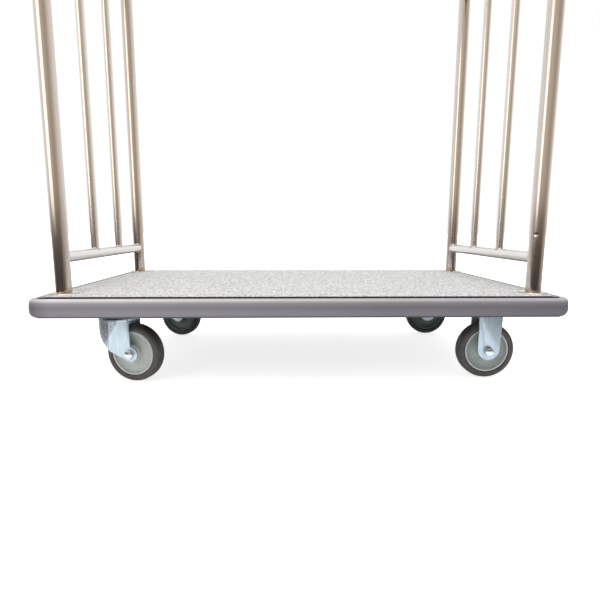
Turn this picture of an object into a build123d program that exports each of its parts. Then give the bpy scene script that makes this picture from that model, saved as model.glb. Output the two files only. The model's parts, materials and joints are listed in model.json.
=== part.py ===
from build123d import *
import math
import os

# Hotel luggage cart: a carpeted deck with a soft bumper all round, an end frame of bent tube at
# each end, a hanging rail between them, two swivel casters and two rigid ones.
# Millimetres, +Z up. The origin is on the floor under the middle of the deck, +X runs along the
# deck towards the rigid casters, and Y runs across it.

# Overall sizes
deck_length = 1098.0            # over the bumper, along X
deck_width = 660.0              # over the bumper, along Y
cart_height = 1750.0            # floor to the top of the end hoops

# Bumper: soft strip with a crowned face, hooked over a metal band by its two lips
bumper_height = 40.0
bumper_rise = 4.5               # top of the bumper above the plywood
bumper_corner_radius = 28.0
bumper_wall = 13.0              # face to the band it hugs
bumper_top_lip = 16.0           # face to the end of the lip over the band
bumper_bottom_lip = 14.8
bumper_lip_thickness = 3.0
bumper_shoulder = 8.0           # width of the rounded top edge
bumper_shoulder_drop = 9.0
bumper_crown = 1.2              # how far the face bulges past its top and bottom
bumper_foot_radius = 3.5
bumper_fit = 0.2                # bumper to band
band_thickness = 2.0
bumper_screw_diameter = 4.0
bumper_screw_head = 7.5
bumper_screw_tip_clearance = 1.5  # tip to the row of deck screws
bumper_screw_pitch = 210.0
bumper_screw_end = 110.0        # least distance from a corner

# Deck
plywood_thickness = 13.0
carpet_thickness = 6.5
carpet_gap = 2.0                # bumper lip to the carpet's cut edge
carpet_corner_radius = 12.0
carpet_post_clearance = 1.0
carpet_press = 1.0              # how far the post flanges sink into the pile
carpet_press_clearance = 0.5
deck_screw_diameter = 5.0
deck_screw_head = 10.0
deck_screw_length = 28.0
deck_screw_spacing_x = 300.0
deck_screw_spacing_y = 200.0

# Underframe of rectangular tube
rail_height = 20.0
rail_wall = 1.5
rail_inset = 4.0                # plywood edge to the outer rails
side_rail_width = 20.0
end_rail_width = 50.0
beam_width = 25.0

# End frames
post_inset_x = 46.0             # bumper face to the post's axis
post_inset_y = 77.0
post_diameter = 32.0
post_wall = 1.5
hoop_bend_radius = 125.0
bar_diameter = 25.4
bar_wall = 1.2
lower_bar_rise = 74.5           # carpet to the lower bar's axis
upper_bar_z = 1020.0            # floor to the upper bar's axis
baluster_diameter = 19.0
baluster_wall = 1.2
baluster_offset = 80.0          # middle of the cart to a baluster's axis
weld_gap = 0.05                 # coped tube end to the tube it is welded to

# Post feet
insert_height = 30.0
insert_fit = 0.05
post_bolt_diameter = 10.0
post_bolt_length = 55.0
post_bolt_flats = 16.0
post_bolt_head = 6.4
post_washer_diameter = 24.0
post_washer_thickness = 2.0
flange_diameter = 60.0
flange_edge = 1.0
flange_rise = 3.2
flange_fit = 0.2

# Hanging rail
rail_diameter = 25.4
hanging_rail_wall = 1.2
rail_end_gap = 0.5
rail_socket_fit = 0.15
socket_length = 24.0
socket_wall = 3.0
rail_screw_diameter = 5.0
rail_screw_head = 9.0
rail_screw_head_height = 3.0

# Casters
wheel_diameter = 127.0
wheel_width = 32.0
caster_inset_y = 107.0          # bumper face to the middle of a caster
swivel_inset_x = 146.0          # bumper face to a kingpin
rigid_inset_x = 132.0
swivel_trail = 38.0             # kingpin to axle
swivel_front_angle = -14.2      # how the trailing wheels stand at rest
swivel_rear_angle = -16.5
plate_length = 105.0
plate_width = 80.0
plate_thickness = 3.0
plate_corner_radius = 7.0
plate_hole_spacing_x = 84.0
plate_hole_spacing_y = 60.0
caster_bolt_diameter = 8.0
caster_bolt_length = 18.0
caster_bolt_flats = 13.0
caster_bolt_head = 5.3
caster_nut_height = 6.5

# Wheel
tyre_thickness = 14.5
tyre_shoulder_radius = 9.0
tyre_seat_chamfer = 2.0
core_rim_width = 28.0
core_rim_thickness = 5.0
core_web_thickness = 9.0
core_hub_wall = 8.0
core_fillet = 3.5
hub_side_clearance = 1.0        # hub to fork leg
bearing_wall = 2.95
spacer_radius = 9.0
running_clearance = 0.05

# Axle
axle_diameter = 12.0
axle_fit = 0.05
axle_flats = 18.0
axle_head = 7.5
axle_nut_height = 10.0
axle_thread_end = 2.0

# Forks and brackets of pressed sheet
fork_side_clearance = 5.0       # tyre to fork leg
fork_sheet = 3.0
bracket_half_width = 26.0
bracket_lean = 2.5              # top of the leg, forward of the axle
bracket_foot_half_width = 24.5
bracket_foot_radius = 25.5
bracket_foot_rise = 6.0         # axle up to the centre of the rounded foot
bracket_bend_radius = 4.0
fork_eye_radius = 17.0
fork_back_clearance = 19.0      # tyre to the wrapped back
fork_wrap = 38.0                # length over which the legs curve round to the back
fork_knee = (3.0, 24.0)         # in from the back, down from the crown: where the back turns in
fork_back_low = (17.5, 24.5)    # in from the back, up from the axle: on the curve below the knee
fork_toe = (39.0, 3.0)          # where that curve ends
fork_front_low = 1.0            # front edge, forward of the axle
fork_front_top = -0.5
crown_overhang = 4.5            # crown past the race above it
crown_thickness = 3.0
crown_rim_width = 3.0
crown_rim_drop = 1.8
kingpin_diameter = 12.0
kingpin_head_diameter = 24.0
kingpin_head_height = 5.5
race_radius = 37.0
race_depth = 9.0
race_fillet = 2.5
ball_radius = 2.7
ball_circle_radius = 28.0
ball_count = 20
ball_play = 0.3
retainer_radius = 20.0
retainer_thickness = 3.0
retainer_gap = 0.3
head_clearance = 2.2            # top of the wheel to the kingpin's head

# Levels and places that follow from them
wheel_radius = wheel_diameter / 2
rim_radius = wheel_radius - tyre_thickness
bearing_radius = spacer_radius + running_clearance + bearing_wall
core_hub_radius = bearing_radius + core_hub_wall
fork_gap = wheel_width + 2 * fork_side_clearance
fork_half = fork_gap / 2 + fork_sheet
core_hub_length = fork_gap - 2 * hub_side_clearance
fork_back = swivel_trail - wheel_radius - fork_back_clearance - fork_sheet
fork_wrap_x = fork_back + fork_wrap
crown_radius = race_radius + crown_overhang
kingpin_head_z = wheel_diameter + head_clearance + kingpin_head_height
crown_z = kingpin_head_z + retainer_thickness + retainer_gap
race_z = crown_z + crown_thickness + 2 * (ball_radius + ball_play)
plate_z = race_z + race_depth
frame_z = plate_z + plate_thickness
plywood_z = frame_z + rail_height
plywood_top_z = plywood_z + plywood_thickness
carpet_top_z = plywood_top_z + carpet_thickness
bumper_z = plywood_top_z + bumper_rise - bumper_height
post_radius = post_diameter / 2
post_x = deck_length / 2 - post_inset_x
post_y = deck_width / 2 - post_inset_y
lower_bar_z = carpet_top_z + lower_bar_rise
hoop_top_z = cart_height - post_radius
band_outer = bumper_wall + bumper_fit
plywood_edge = band_outer + band_thickness
rail_edge = plywood_edge + rail_inset
deck_screw_inset = rail_edge + side_rail_width / 2
bumper_screw_reach = deck_screw_inset - deck_screw_diameter / 2 - bumper_screw_tip_clearance
bumper_screw_length = bumper_screw_reach - band_outer
flange_z = carpet_top_z - carpet_press
caster_y = deck_width / 2 - caster_inset_y
swivel_x = swivel_inset_x - deck_length / 2
rigid_x = deck_length / 2 - rigid_inset_x
ENDS = {"swivel_end": -1, "rigid_end": 1}
SIDES = {"front": -1, "rear": 1}

os.makedirs("parts", exist_ok=True)


def finish(piece, name):
    """Label a finished piece and write its STEP file."""
    piece.part.label = name
    export_step(piece.part, f"parts/{name}.step")


def inside(distance):
    """Length and width of the deck's outline, moved in from the bumper's face by a distance."""
    return deck_length - 2 * distance, deck_width - 2 * distance


def outline_radius(distance):
    """Corner radius of that outline."""
    return bumper_corner_radius - distance


def caster_plane(x, side, angle=0.0):
    """Plane on the floor under a caster, its x axis along the way the wheel trails."""
    turn = math.radians(angle)
    return Plane(origin=(x, side * caster_y, 0), x_dir=(math.cos(turn), math.sin(turn), 0))


def side_plane(caster):
    """Upright plane through the middle of a caster: x along the trail, y up."""
    return Plane(origin=caster.origin, x_dir=caster.x_dir, z_dir=-caster.y_dir)


def axle_plane(caster, trail, along):
    """Plane across the axle at a distance along it, facing along the axle."""
    place = caster.from_local_coords(Vector(trail, along, wheel_radius))
    return Plane(origin=place, x_dir=caster.x_dir, z_dir=caster.y_dir)


def level_planes(points, z, direction=1):
    """Horizontal planes at some XY points, facing up or down."""
    return [Plane(origin=(x, y, z), x_dir=(1, 0, 0), z_dir=(0, 0, direction)) for x, y in points]


def make_hex_bolts(name, places, diameter, length, flats, head):
    """Hexagon-head bolts; each place is the plane under a head and faces along the shank."""
    with BuildPart() as bolts:
        with BuildSketch(*places):
            Circle(diameter / 2)
        extrude(amount=length)
        with BuildSketch(*places):
            RegularPolygon(flats / 2, 6, major_radius=False)
        extrude(amount=-head)
    finish(bolts, name)


def make_rings(name, places, outer, inner, height, flats=0.0):
    """Washers, spacers, plugs or, with flats given, hexagon nuts."""
    with BuildPart() as rings:
        with BuildSketch(*places):
            if flats:
                RegularPolygon(flats / 2, 6, major_radius=False)
            else:
                Circle(outer)
            Circle(inner, mode=Mode.SUBTRACT)
        extrude(amount=height)
    finish(rings, name)


def make_countersunk_screws(name, places, diameter, head, length):
    """Flat-head screws; each place is the plane of a head's face and faces along the shank."""
    head_depth = (head - diameter) / 2
    with BuildPart() as screws:
        with BuildSketch(*places):
            Circle(diameter / 2)
        extrude(amount=length)
        with BuildSketch(*places):
            Circle(head / 2)
        extrude(amount=head_depth, taper=45)
    finish(screws, name)


# Deck fixings: where the posts, deck screws, bumper screws and caster bolts go
post_points = [(x * post_x, y * post_y) for x in (-1, 1) for y in (-1, 1)]
side_rail_y = inside(deck_screw_inset)[1] / 2
end_rail_x = inside(rail_edge)[0] / 2 - end_rail_width / 2
side_screw_points = [
    (x * deck_screw_spacing_x, y * side_rail_y) for x in (-1, 0, 1) for y in (-1, 1)
]
end_screw_points = [
    (x * end_rail_x, y * deck_screw_spacing_y / 2) for x in (-1, 1) for y in (-1, 1)
]
deck_screw_points = side_screw_points + end_screw_points
caster_centres = [(x, y * caster_y) for x in (swivel_x, rigid_x) for y in (-1, 1)]
caster_bolt_points = [
    (x + i * plate_hole_spacing_x / 2, y + j * plate_hole_spacing_y / 2)
    for x, y in caster_centres
    for i in (-1, 1)
    for j in (-1, 1)
]
beam_centres = [x + i * plate_hole_spacing_x / 2 for x in (swivel_x, rigid_x) for i in (-1, 1)]


def spread(length, pitch):
    """Evenly spaced places along a straight side, no further apart than the pitch."""
    span = length - 2 * bumper_screw_end
    gaps = max(1, math.ceil(span / pitch))
    return [-span / 2 + i * span / gaps for i in range(gaps + 1)]


bumper_screw_z = plywood_z + plywood_thickness / 2
bumper_screw_planes = [
    Plane(
        origin=(x, side * inside(band_outer)[1] / 2, bumper_screw_z),
        x_dir=(1, 0, 0),
        z_dir=(0, -side, 0),
    )
    for side in (-1, 1)
    for x in spread(deck_length, bumper_screw_pitch)
] + [
    Plane(
        origin=(side * inside(band_outer)[0] / 2, y, bumper_screw_z),
        x_dir=(0, 1, 0),
        z_dir=(-side, 0, 0),
    )
    for side in (-1, 1)
    for y in spread(deck_width, bumper_screw_pitch)
]

# Plywood deck panel, drilled for the post bolts and countersunk for the deck screws
with BuildPart() as deck_panel:
    with BuildSketch(Plane.XY.offset(plywood_z)):
        RectangleRounded(*inside(plywood_edge), outline_radius(plywood_edge))
        with Locations(*post_points):
            Circle(post_bolt_diameter / 2 + 0.5, mode=Mode.SUBTRACT)
    extrude(amount=plywood_thickness)
    with Locations(*[(x, y, plywood_top_z) for x, y in deck_screw_points]):
        CounterSinkHole(deck_screw_diameter / 2, deck_screw_head / 2 + 0.1, counter_sink_angle=90)
    with BuildSketch(*bumper_screw_planes):
        Circle(bumper_screw_diameter / 2)
    extrude(amount=bumper_screw_length + 1, mode=Mode.SUBTRACT)
finish(deck_panel, "deck_panel")

# Loop-pile carpet, cut a little short of the bumper and round each post, and pressed down under
# each post's flange
with BuildPart() as carpet:
    with BuildSketch(Plane.XY.offset(plywood_top_z)):
        RectangleRounded(*inside(bumper_top_lip + carpet_gap), carpet_corner_radius)
        with Locations(*post_points):
            Circle(post_radius + carpet_post_clearance, mode=Mode.SUBTRACT)
    extrude(amount=carpet_thickness)
    with BuildSketch(Plane.XY.offset(flange_z)):
        with Locations(*post_points):
            Circle(flange_diameter / 2 + carpet_press_clearance)
    extrude(amount=carpet_press, mode=Mode.SUBTRACT)
finish(carpet, "carpet")

# Bumper strip: its section is drawn with x inwards from the face and y up, and swept round
with BuildSketch(Plane.XY.offset(bumper_z)) as bumper_outline:
    RectangleRounded(deck_length, deck_width, bumper_corner_radius)
bumper_path = bumper_outline.sketch.faces()[0].outer_wire()
bumper_start = Plane(
    origin=bumper_path @ 0,
    x_dir=Vector(0, 0, 1).cross(bumper_path % 0),
    z_dir=bumper_path % 0,
)
with BuildPart() as bumper:
    with BuildSketch(bumper_start):
        with BuildLine():
            shoulder_end = (bumper_crown, bumper_height - bumper_shoulder_drop)
            foot_start = (bumper_crown, bumper_foot_radius)
            foot_end = (bumper_crown + bumper_foot_radius, 0)
            under_lip = bumper_height - bumper_lip_thickness
            Line((bumper_top_lip, bumper_height), (bumper_shoulder, bumper_height))
            TangentArc((bumper_shoulder, bumper_height), shoulder_end, tangent=(-1, 0))
            ThreePointArc(shoulder_end, (0, bumper_height / 2 + 1), foot_start)
            RadiusArc(foot_start, foot_end, bumper_foot_radius)
            Polyline(
                foot_end,
                (bumper_bottom_lip, 0),
                (bumper_bottom_lip, bumper_lip_thickness),
                (bumper_wall, bumper_lip_thickness),
                (bumper_wall, under_lip),
                (bumper_top_lip, under_lip),
                (bumper_top_lip, bumper_height),
            )
        make_face()
    sweep(path=bumper_path)
finish(bumper, "bumper")

# Aluminium band round the plywood's edge, which holds the bumper
band_height = bumper_height - 2 * (bumper_lip_thickness + bumper_fit)
with BuildPart() as bumper_channel:
    with BuildSketch(Plane.XY.offset(bumper_z + bumper_lip_thickness + bumper_fit)):
        RectangleRounded(*inside(band_outer), outline_radius(band_outer))
        RectangleRounded(
            *inside(plywood_edge), outline_radius(plywood_edge), mode=Mode.SUBTRACT
        )
    extrude(amount=band_height)
    with BuildSketch(*bumper_screw_planes):
        Circle(bumper_screw_head / 2 + 0.1)
    extrude(amount=band_thickness, taper=45, mode=Mode.SUBTRACT)
    with BuildSketch(*bumper_screw_planes):
        Circle(bumper_screw_diameter / 2 + 0.1)
    extrude(amount=band_thickness, mode=Mode.SUBTRACT)
finish(bumper_channel, "bumper_channel")
make_countersunk_screws(
    "bumper_screws",
    bumper_screw_planes,
    bumper_screw_diameter,
    bumper_screw_head,
    bumper_screw_length,
)
make_countersunk_screws(
    "deck_screws",
    level_planes(deck_screw_points, plywood_top_z, -1),
    deck_screw_diameter,
    deck_screw_head,
    deck_screw_length,
)

# Side rails, between the end rails
with BuildPart() as side_rails:
    with BuildSketch(Plane.YZ):
        with Locations((-side_rail_y, frame_z), (side_rail_y, frame_z)):
            Rectangle(side_rail_width, rail_height, align=(Align.CENTER, Align.MIN))
        with Locations((-side_rail_y, frame_z + rail_wall), (side_rail_y, frame_z + rail_wall)):
            Rectangle(
                side_rail_width - 2 * rail_wall,
                rail_height - 2 * rail_wall,
                align=(Align.CENTER, Align.MIN),
                mode=Mode.SUBTRACT,
            )
    extrude(amount=end_rail_x - end_rail_width / 2, both=True)
    with Locations(*[(x, y, plywood_z) for x, y in side_screw_points]):
        Hole(deck_screw_diameter / 2 + 0.1, depth=rail_height / 2)
finish(side_rails, "side_rails")

# End rails, full width, which the posts are bolted down to
with BuildPart() as end_rails:
    with BuildSketch(Plane.XZ):
        with Locations((-end_rail_x, frame_z), (end_rail_x, frame_z)):
            Rectangle(end_rail_width, rail_height, align=(Align.CENTER, Align.MIN))
        with Locations((-end_rail_x, frame_z + rail_wall), (end_rail_x, frame_z + rail_wall)):
            Rectangle(
                end_rail_width - 2 * rail_wall,
                rail_height - 2 * rail_wall,
                align=(Align.CENTER, Align.MIN),
                mode=Mode.SUBTRACT,
            )
    extrude(amount=inside(rail_edge)[1] / 2, both=True)
    with Locations(*[(x, y, plywood_z) for x, y in post_points]):
        Hole(post_bolt_diameter / 2 + 0.25, depth=rail_height)
    with Locations(*[(x, y, plywood_z) for x, y in end_screw_points]):
        Hole(deck_screw_diameter / 2 + 0.1, depth=rail_height / 2)
finish(end_rails, "end_rails")

# Cross beams over the casters
with BuildPart() as caster_beams:
    with BuildSketch(Plane.XZ):
        with Locations(*[(x, frame_z) for x in beam_centres]):
            Rectangle(beam_width, rail_height, align=(Align.CENTER, Align.MIN))
        with Locations(*[(x, frame_z + rail_wall) for x in beam_centres]):
            Rectangle(
                beam_width - 2 * rail_wall,
                rail_height - 2 * rail_wall,
                align=(Align.CENTER, Align.MIN),
                mode=Mode.SUBTRACT,
            )
    extrude(amount=side_rail_y - side_rail_width / 2, both=True)
    with BuildSketch(*level_planes(caster_bolt_points, frame_z)):
        Circle(caster_bolt_diameter / 2 + 0.25)
    extrude(amount=rail_wall, mode=Mode.SUBTRACT)
finish(caster_beams, "caster_beams")

# End frames: a hoop of bent tube whose legs are the posts, two cross bars and two balusters
for end, end_side in ENDS.items():
    end_x = end_side * post_x
    foot = (-post_y, plywood_top_z)
    with BuildPart() as hoop:
        with BuildLine(Plane.YZ.offset(end_x)) as hoop_path:
            FilletPolyline(
                foot,
                (-post_y, hoop_top_z),
                (post_y, hoop_top_z),
                (post_y, plywood_top_z),
                radius=hoop_bend_radius,
            )
        with BuildSketch(Plane(origin=(end_x, *foot), z_dir=(0, 0, 1))):
            Circle(post_radius)
            Circle(post_radius - post_wall, mode=Mode.SUBTRACT)
        sweep(path=hoop_path.line)
    finish(hoop, f"{end}_hoop")

    for bar_name, bar_z in (("lower_bar", lower_bar_z), ("upper_bar", upper_bar_z)):
        with BuildPart() as bar:
            with BuildSketch(Plane.XZ):
                with Locations((end_x, bar_z)):
                    Circle(bar_diameter / 2)
                    Circle(bar_diameter / 2 - bar_wall, mode=Mode.SUBTRACT)
            extrude(amount=post_y, both=True)
            with BuildSketch(Plane.XY.offset(bar_z)):
                with Locations((end_x, -post_y), (end_x, post_y)):
                    Circle(post_radius + weld_gap)
            extrude(amount=bar_diameter, both=True, mode=Mode.SUBTRACT)
        finish(bar, f"{end}_{bar_name}")

    for side, side_sign in SIDES.items():
        with BuildPart() as baluster:
            with BuildSketch(Plane.XY.offset(lower_bar_z)):
                with Locations((end_x, side_sign * baluster_offset)):
                    Circle(baluster_diameter / 2)
                    Circle(baluster_diameter / 2 - baluster_wall, mode=Mode.SUBTRACT)
            extrude(amount=upper_bar_z - lower_bar_z)
            with BuildSketch(Plane.XZ):
                with Locations((end_x, lower_bar_z), (end_x, upper_bar_z)):
                    Circle(bar_diameter / 2 + weld_gap)
            extrude(amount=post_y, both=True, mode=Mode.SUBTRACT)
        finish(baluster, f"{end}_baluster_{side}")

# Post feet: welded-in threaded plugs, bolted down through the plywood and the end rails
make_rings(
    "post_inserts",
    level_planes(post_points, plywood_top_z),
    post_radius - post_wall - insert_fit,
    post_bolt_diameter / 2 + 0.05,
    insert_height,
)
post_seat_z = frame_z - post_washer_thickness
make_rings(
    "post_washers",
    level_planes(post_points, post_seat_z),
    post_washer_diameter / 2,
    post_bolt_diameter / 2 + 0.25,
    post_washer_thickness,
)
make_hex_bolts(
    "post_bolts",
    level_planes(post_points, post_seat_z),
    post_bolt_diameter,
    post_bolt_length,
    post_bolt_flats,
    post_bolt_head,
)

# Round flanges that cover the cut in the carpet at each post
flange_inner = post_radius + flange_fit
flange_outer = flange_diameter / 2
with BuildPart() as post_flanges:
    for x, y in post_points:
        with BuildSketch(Plane(origin=(x, y, flange_z), x_dir=(1, 0, 0), z_dir=(0, -1, 0))):
            with BuildLine():
                Polyline(
                    (flange_inner, 0),
                    (flange_outer, 0),
                    (flange_outer, flange_edge),
                    (flange_inner + 2, flange_rise),
                    (flange_inner, flange_rise),
                    close=True,
                )
            make_face()
        revolve(axis=Axis((x, y, 0), (0, 0, 1)))
finish(post_flanges, "post_flanges")

# Hanging rail between the hoops, held in a coped socket at each end by a screw from below
rail_half = post_x - post_radius - rail_end_gap
socket_radius = rail_diameter / 2 + rail_socket_fit + socket_wall
socket_end_x = post_x - post_radius - socket_length
rail_screw_x = socket_end_x + socket_length / 2
with BuildPart() as hanging_rail:
    with BuildSketch(Plane.YZ):
        with Locations((0, hoop_top_z)):
            Circle(rail_diameter / 2)
            Circle(rail_diameter / 2 - hanging_rail_wall, mode=Mode.SUBTRACT)
    extrude(amount=rail_half, both=True)
finish(hanging_rail, "hanging_rail")

with BuildPart() as rail_sockets:
    for side in (-1, 1):
        with BuildSketch(Plane.YZ.offset(side * socket_end_x)):
            with Locations((0, hoop_top_z)):
                Circle(socket_radius)
                Circle(rail_diameter / 2 + rail_socket_fit, mode=Mode.SUBTRACT)
        extrude(amount=side * (post_x - socket_end_x))
    with BuildSketch(Plane.XZ):
        with Locations((-post_x, hoop_top_z), (post_x, hoop_top_z)):
            Circle(post_radius + weld_gap)
    extrude(amount=2 * socket_radius, both=True, mode=Mode.SUBTRACT)
    with BuildSketch(*level_planes([(-rail_screw_x, 0), (rail_screw_x, 0)], hoop_top_z, -1)):
        Circle(rail_screw_diameter / 2 + 0.1)
    extrude(amount=2 * socket_radius, mode=Mode.SUBTRACT)
finish(rail_sockets, "rail_sockets")

with BuildPart() as rail_screws:
    screw_head_z = hoop_top_z - socket_radius
    with BuildSketch(*level_planes([(-rail_screw_x, 0), (rail_screw_x, 0)], screw_head_z)):
        Circle(rail_screw_diameter / 2)
    extrude(amount=socket_wall)
    with BuildSketch(*level_planes([(-rail_screw_x, 0), (rail_screw_x, 0)], screw_head_z)):
        Circle(rail_screw_head / 2)
    extrude(amount=-rail_screw_head_height)
finish(rail_screws, "rail_screws")

# Caster fixings: bolts up through the plates into nuts welded inside the beams
make_hex_bolts(
    "caster_bolts",
    level_planes(caster_bolt_points, plate_z),
    caster_bolt_diameter,
    caster_bolt_length,
    caster_bolt_flats,
    caster_bolt_head,
)
make_rings(
    "caster_nuts",
    level_planes(caster_bolt_points, frame_z + rail_wall),
    0,
    caster_bolt_diameter / 2 + 0.05,
    caster_nut_height,
    caster_bolt_flats,
)


def make_wheel(name, caster, trail):
    """Soft tyre on a plastic core, with a plain bearing in its hub."""
    wheel = axle_plane(caster, trail, 0)
    section = Plane(origin=wheel.origin, x_dir=caster.x_dir, z_dir=caster.z_dir)
    axle = Axis(wheel.origin, wheel.z_dir)

    with BuildPart() as tyre:
        with BuildSketch(section) as tyre_section:
            with Locations((rim_radius, 0)):
                Rectangle(tyre_thickness, wheel_width, align=(Align.MIN, Align.CENTER))
            fillet(tyre_section.vertices().group_by(Axis.X)[-1], tyre_shoulder_radius)
            chamfer(tyre_section.vertices().group_by(Axis.X)[0], tyre_seat_chamfer)
        revolve(axis=axle)
    finish(tyre, f"{name}_tyre")

    with BuildPart() as core:
        with BuildSketch(section) as core_section:
            with Locations((bearing_radius, 0)):
                Rectangle(
                    core_hub_radius - bearing_radius,
                    core_hub_length,
                    align=(Align.MIN, Align.CENTER),
                )
                Rectangle(
                    rim_radius - bearing_radius,
                    core_web_thickness,
                    align=(Align.MIN, Align.CENTER),
                )
            with Locations((rim_radius, 0)):
                Rectangle(core_rim_thickness, core_rim_width, align=(Align.MAX, Align.CENTER))
            web_corners = core_section.vertices().filter_by(
                lambda v: abs(abs(v.Y) - core_web_thickness / 2) < 0.01
            )
            fillet(web_corners, core_fillet)
        revolve(axis=axle)
    finish(core, f"{name}_core")

    bearing_start = axle_plane(caster, trail, -core_hub_length / 2)
    make_rings(
        f"{name}_bearing",
        [bearing_start],
        bearing_radius,
        spacer_radius + running_clearance,
        core_hub_length,
    )


def make_axles(names, casters, trail):
    """Axle bolt, nut and spacer tube; each name list entry is a node for its casters."""
    bolt_name, nut_name, spacer_name = names
    make_hex_bolts(
        bolt_name,
        [axle_plane(caster, trail, -fork_half) for caster in casters],
        axle_diameter,
        2 * fork_half + axle_nut_height + axle_thread_end,
        axle_flats,
        axle_head,
    )
    make_rings(
        nut_name,
        [axle_plane(caster, trail, fork_half) for caster in casters],
        0,
        axle_diameter / 2 + axle_fit,
        axle_nut_height,
        axle_flats,
    )
    make_rings(
        spacer_name,
        [axle_plane(caster, trail, -fork_gap / 2) for caster in casters],
        spacer_radius,
        axle_diameter / 2 + axle_fit,
        fork_gap,
    )


def make_rigid_bracket(name, caster):
    """Top plate with two flat legs that hold the axle."""
    with BuildPart() as bracket:
        with BuildSketch(side_plane(caster)):
            foot_z = wheel_radius + bracket_foot_rise
            with BuildLine():
                Polyline(
                    (-bracket_foot_half_width, foot_z),
                    (bracket_lean - bracket_half_width, plate_z),
                    (bracket_lean + bracket_half_width, plate_z),
                    (bracket_foot_half_width, foot_z),
                )
                ThreePointArc(
                    (bracket_foot_half_width, foot_z),
                    (0, foot_z - bracket_foot_radius),
                    (-bracket_foot_half_width, foot_z),
                )
            make_face()
            with Locations((0, wheel_radius)):
                Circle(axle_diameter / 2 + axle_fit, mode=Mode.SUBTRACT)
        extrude(amount=fork_half, both=True)
        with BuildSketch(caster):
            Rectangle(plate_length, fork_gap)
        extrude(amount=plate_z, mode=Mode.SUBTRACT)
        with BuildSketch(caster.offset(plate_z)):
            RectangleRounded(plate_length, plate_width, plate_corner_radius)
            with GridLocations(plate_hole_spacing_x, plate_hole_spacing_y, 2, 2):
                Circle(caster_bolt_diameter / 2 + 0.25, mode=Mode.SUBTRACT)
        extrude(amount=plate_thickness)
        bends = bracket.edges().filter_by(Axis.X).filter_by(
            lambda e: abs(abs(e.center().Y - caster.origin.Y) - fork_half) < 0.1
            and abs(e.center().Z - plate_z) < 0.1
        )
        fillet(bends, bracket_bend_radius)
    finish(bracket, name)


def make_swivel_plate(name, caster):
    """Top plate with the upper ball race pressed into it."""
    with BuildPart() as plate:
        with BuildSketch(caster.offset(plate_z)):
            RectangleRounded(plate_length, plate_width, plate_corner_radius)
            with GridLocations(plate_hole_spacing_x, plate_hole_spacing_y, 2, 2):
                Circle(caster_bolt_diameter / 2 + 0.25, mode=Mode.SUBTRACT)
        extrude(amount=plate_thickness)
        with BuildSketch(caster.offset(race_z)):
            Circle(race_radius)
        extrude(amount=plate_z - race_z)
        fillet(plate.edges().group_by(Axis.Z)[0], race_fillet)
        with BuildSketch(caster.offset(race_z)):
            Circle(kingpin_diameter / 2 + axle_fit)
        extrude(amount=frame_z - race_z, mode=Mode.SUBTRACT)
    finish(plate, name)


def make_fork(name, caster):
    """Pressed fork: a crown over two legs that wrap round the back of the wheel."""
    with BuildPart() as fork:
        with BuildSketch(caster):
            for half in (fork_half, fork_gap / 2):
                mode = Mode.ADD if half == fork_half else Mode.SUBTRACT
                with Locations((fork_wrap_x, 0)):
                    Ellipse(fork_wrap - fork_half + half, half, mode=mode)
                    Rectangle(
                        swivel_trail + 2 * fork_half,
                        2 * half,
                        align=(Align.MIN, Align.CENTER),
                        mode=mode,
                    )
        extrude(amount=crown_z)
        with BuildSketch(side_plane(caster)):
            knee = (fork_back + fork_knee[0], crown_z - fork_knee[1])
            low = (fork_back + fork_back_low[0], wheel_radius + fork_back_low[1])
            toe = (fork_back + fork_toe[0], wheel_radius + fork_toe[1])
            with BuildLine():
                Polyline(
                    toe,
                    (swivel_trail - 3, wheel_radius - fork_eye_radius + 0.5),
                    (swivel_trail, wheel_radius),
                    (swivel_trail + fork_front_low, wheel_radius + fork_eye_radius),
                    (swivel_trail + fork_front_top, crown_z),
                    (fork_back - 1, crown_z),
                    knee,
                )
                ThreePointArc(knee, low, toe)
            make_face()
            with Locations((swivel_trail, wheel_radius)):
                Circle(fork_eye_radius)
                Circle(axle_diameter / 2 + axle_fit, mode=Mode.SUBTRACT)
        extrude(amount=fork_half, both=True, mode=Mode.INTERSECT)
        with BuildSketch(caster.offset(crown_z - crown_rim_drop)):
            Circle(crown_radius)
            Circle(crown_radius - crown_rim_width, mode=Mode.SUBTRACT)
            with Locations((fork_wrap_x, 0)):
                Ellipse(fork_wrap - fork_sheet, fork_half - fork_sheet, mode=Mode.SUBTRACT)
        extrude(amount=crown_rim_drop + crown_thickness)
        with BuildSketch(caster.offset(crown_z)):
            Circle(crown_radius)
            with Locations((fork_wrap_x, 0)):
                Ellipse(fork_wrap, fork_half)
            Circle(kingpin_diameter / 2 + running_clearance, mode=Mode.SUBTRACT)
        extrude(amount=crown_thickness)
    finish(fork, name)


def make_balls(name, caster):
    """Ring of bearing balls between the upper race and the fork's crown."""
    with BuildPart() as balls:
        with Locations(caster.offset(crown_z + crown_thickness + ball_radius + ball_play)):
            with PolarLocations(ball_circle_radius, ball_count):
                Sphere(ball_radius)
    finish(balls, name)


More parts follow.
